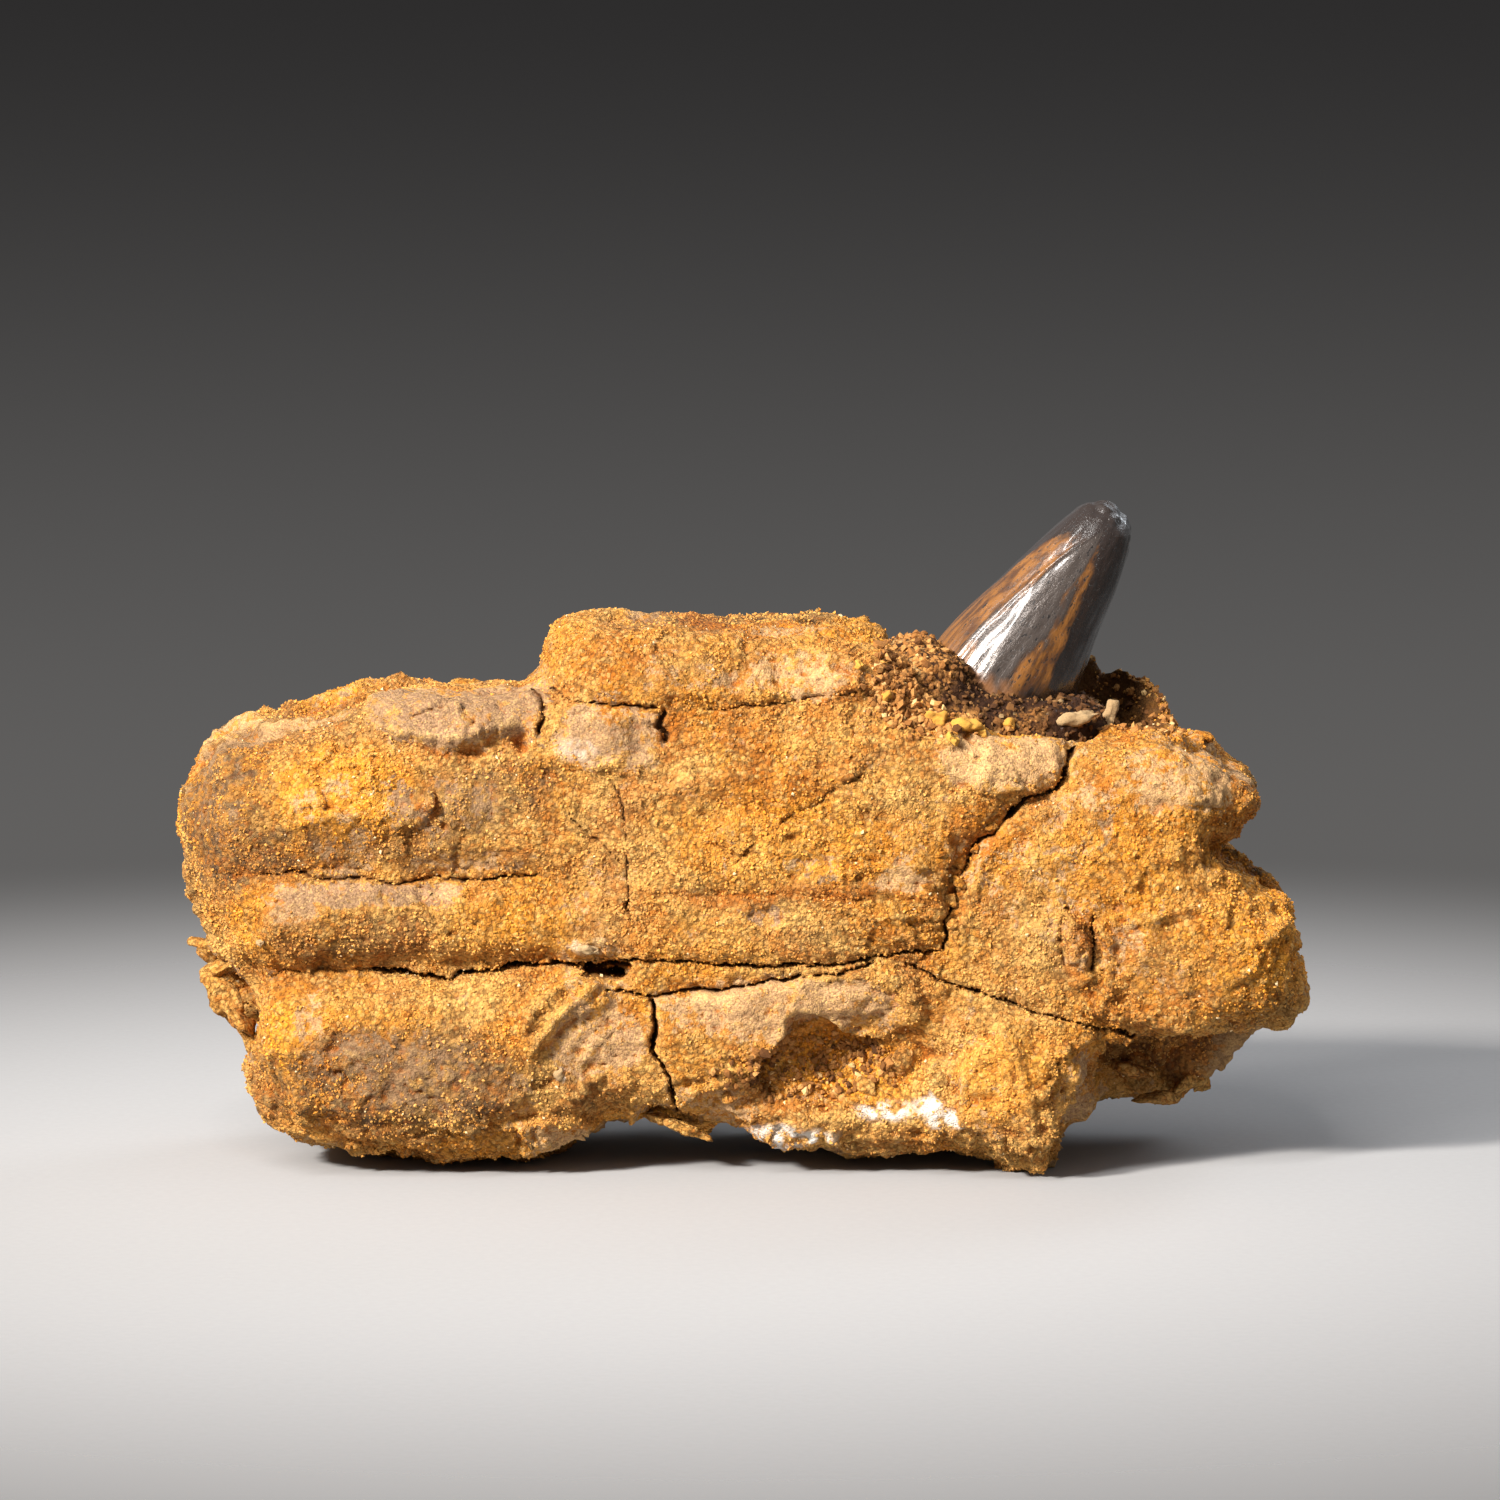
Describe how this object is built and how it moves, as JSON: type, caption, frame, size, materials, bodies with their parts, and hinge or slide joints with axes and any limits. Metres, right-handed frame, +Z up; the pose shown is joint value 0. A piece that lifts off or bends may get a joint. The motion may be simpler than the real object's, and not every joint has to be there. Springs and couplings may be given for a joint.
{
  "type": "fossil mosasaur jaw fragment",
  "caption": "Fragment of fossil mosasaur jaw in sandy matrix, with a leaning conical tooth in its sediment-filled socket; rests on its own uneven underside.",
  "frame": {"origin": "on the surface that it rests on, under the middle of its box", "axes": "+X along the jaw's long side, towards the end with the tooth; -Y out of the face that is seen; +Z up"},
  "size_m": [0.147, 0.0578, 0.0849],
  "materials": {
    "sandy_bone": "iron-stained fossil bone crusted with ochre sand, worn grey-pink on its ridges, matt",
    "crumbly_sediment": "loose dark brown sediment with ochre grains, matt",
    "tooth_enamel": "dark brown fossil enamel with rusty streaks, glossy, finely striated"
  },
  "bodies": {
    "root": {"jaw_bone": "sandy_bone", "socket_sediment": "crumbly_sediment", "tooth": "tooth_enamel"}
  },
  "joints": []
}
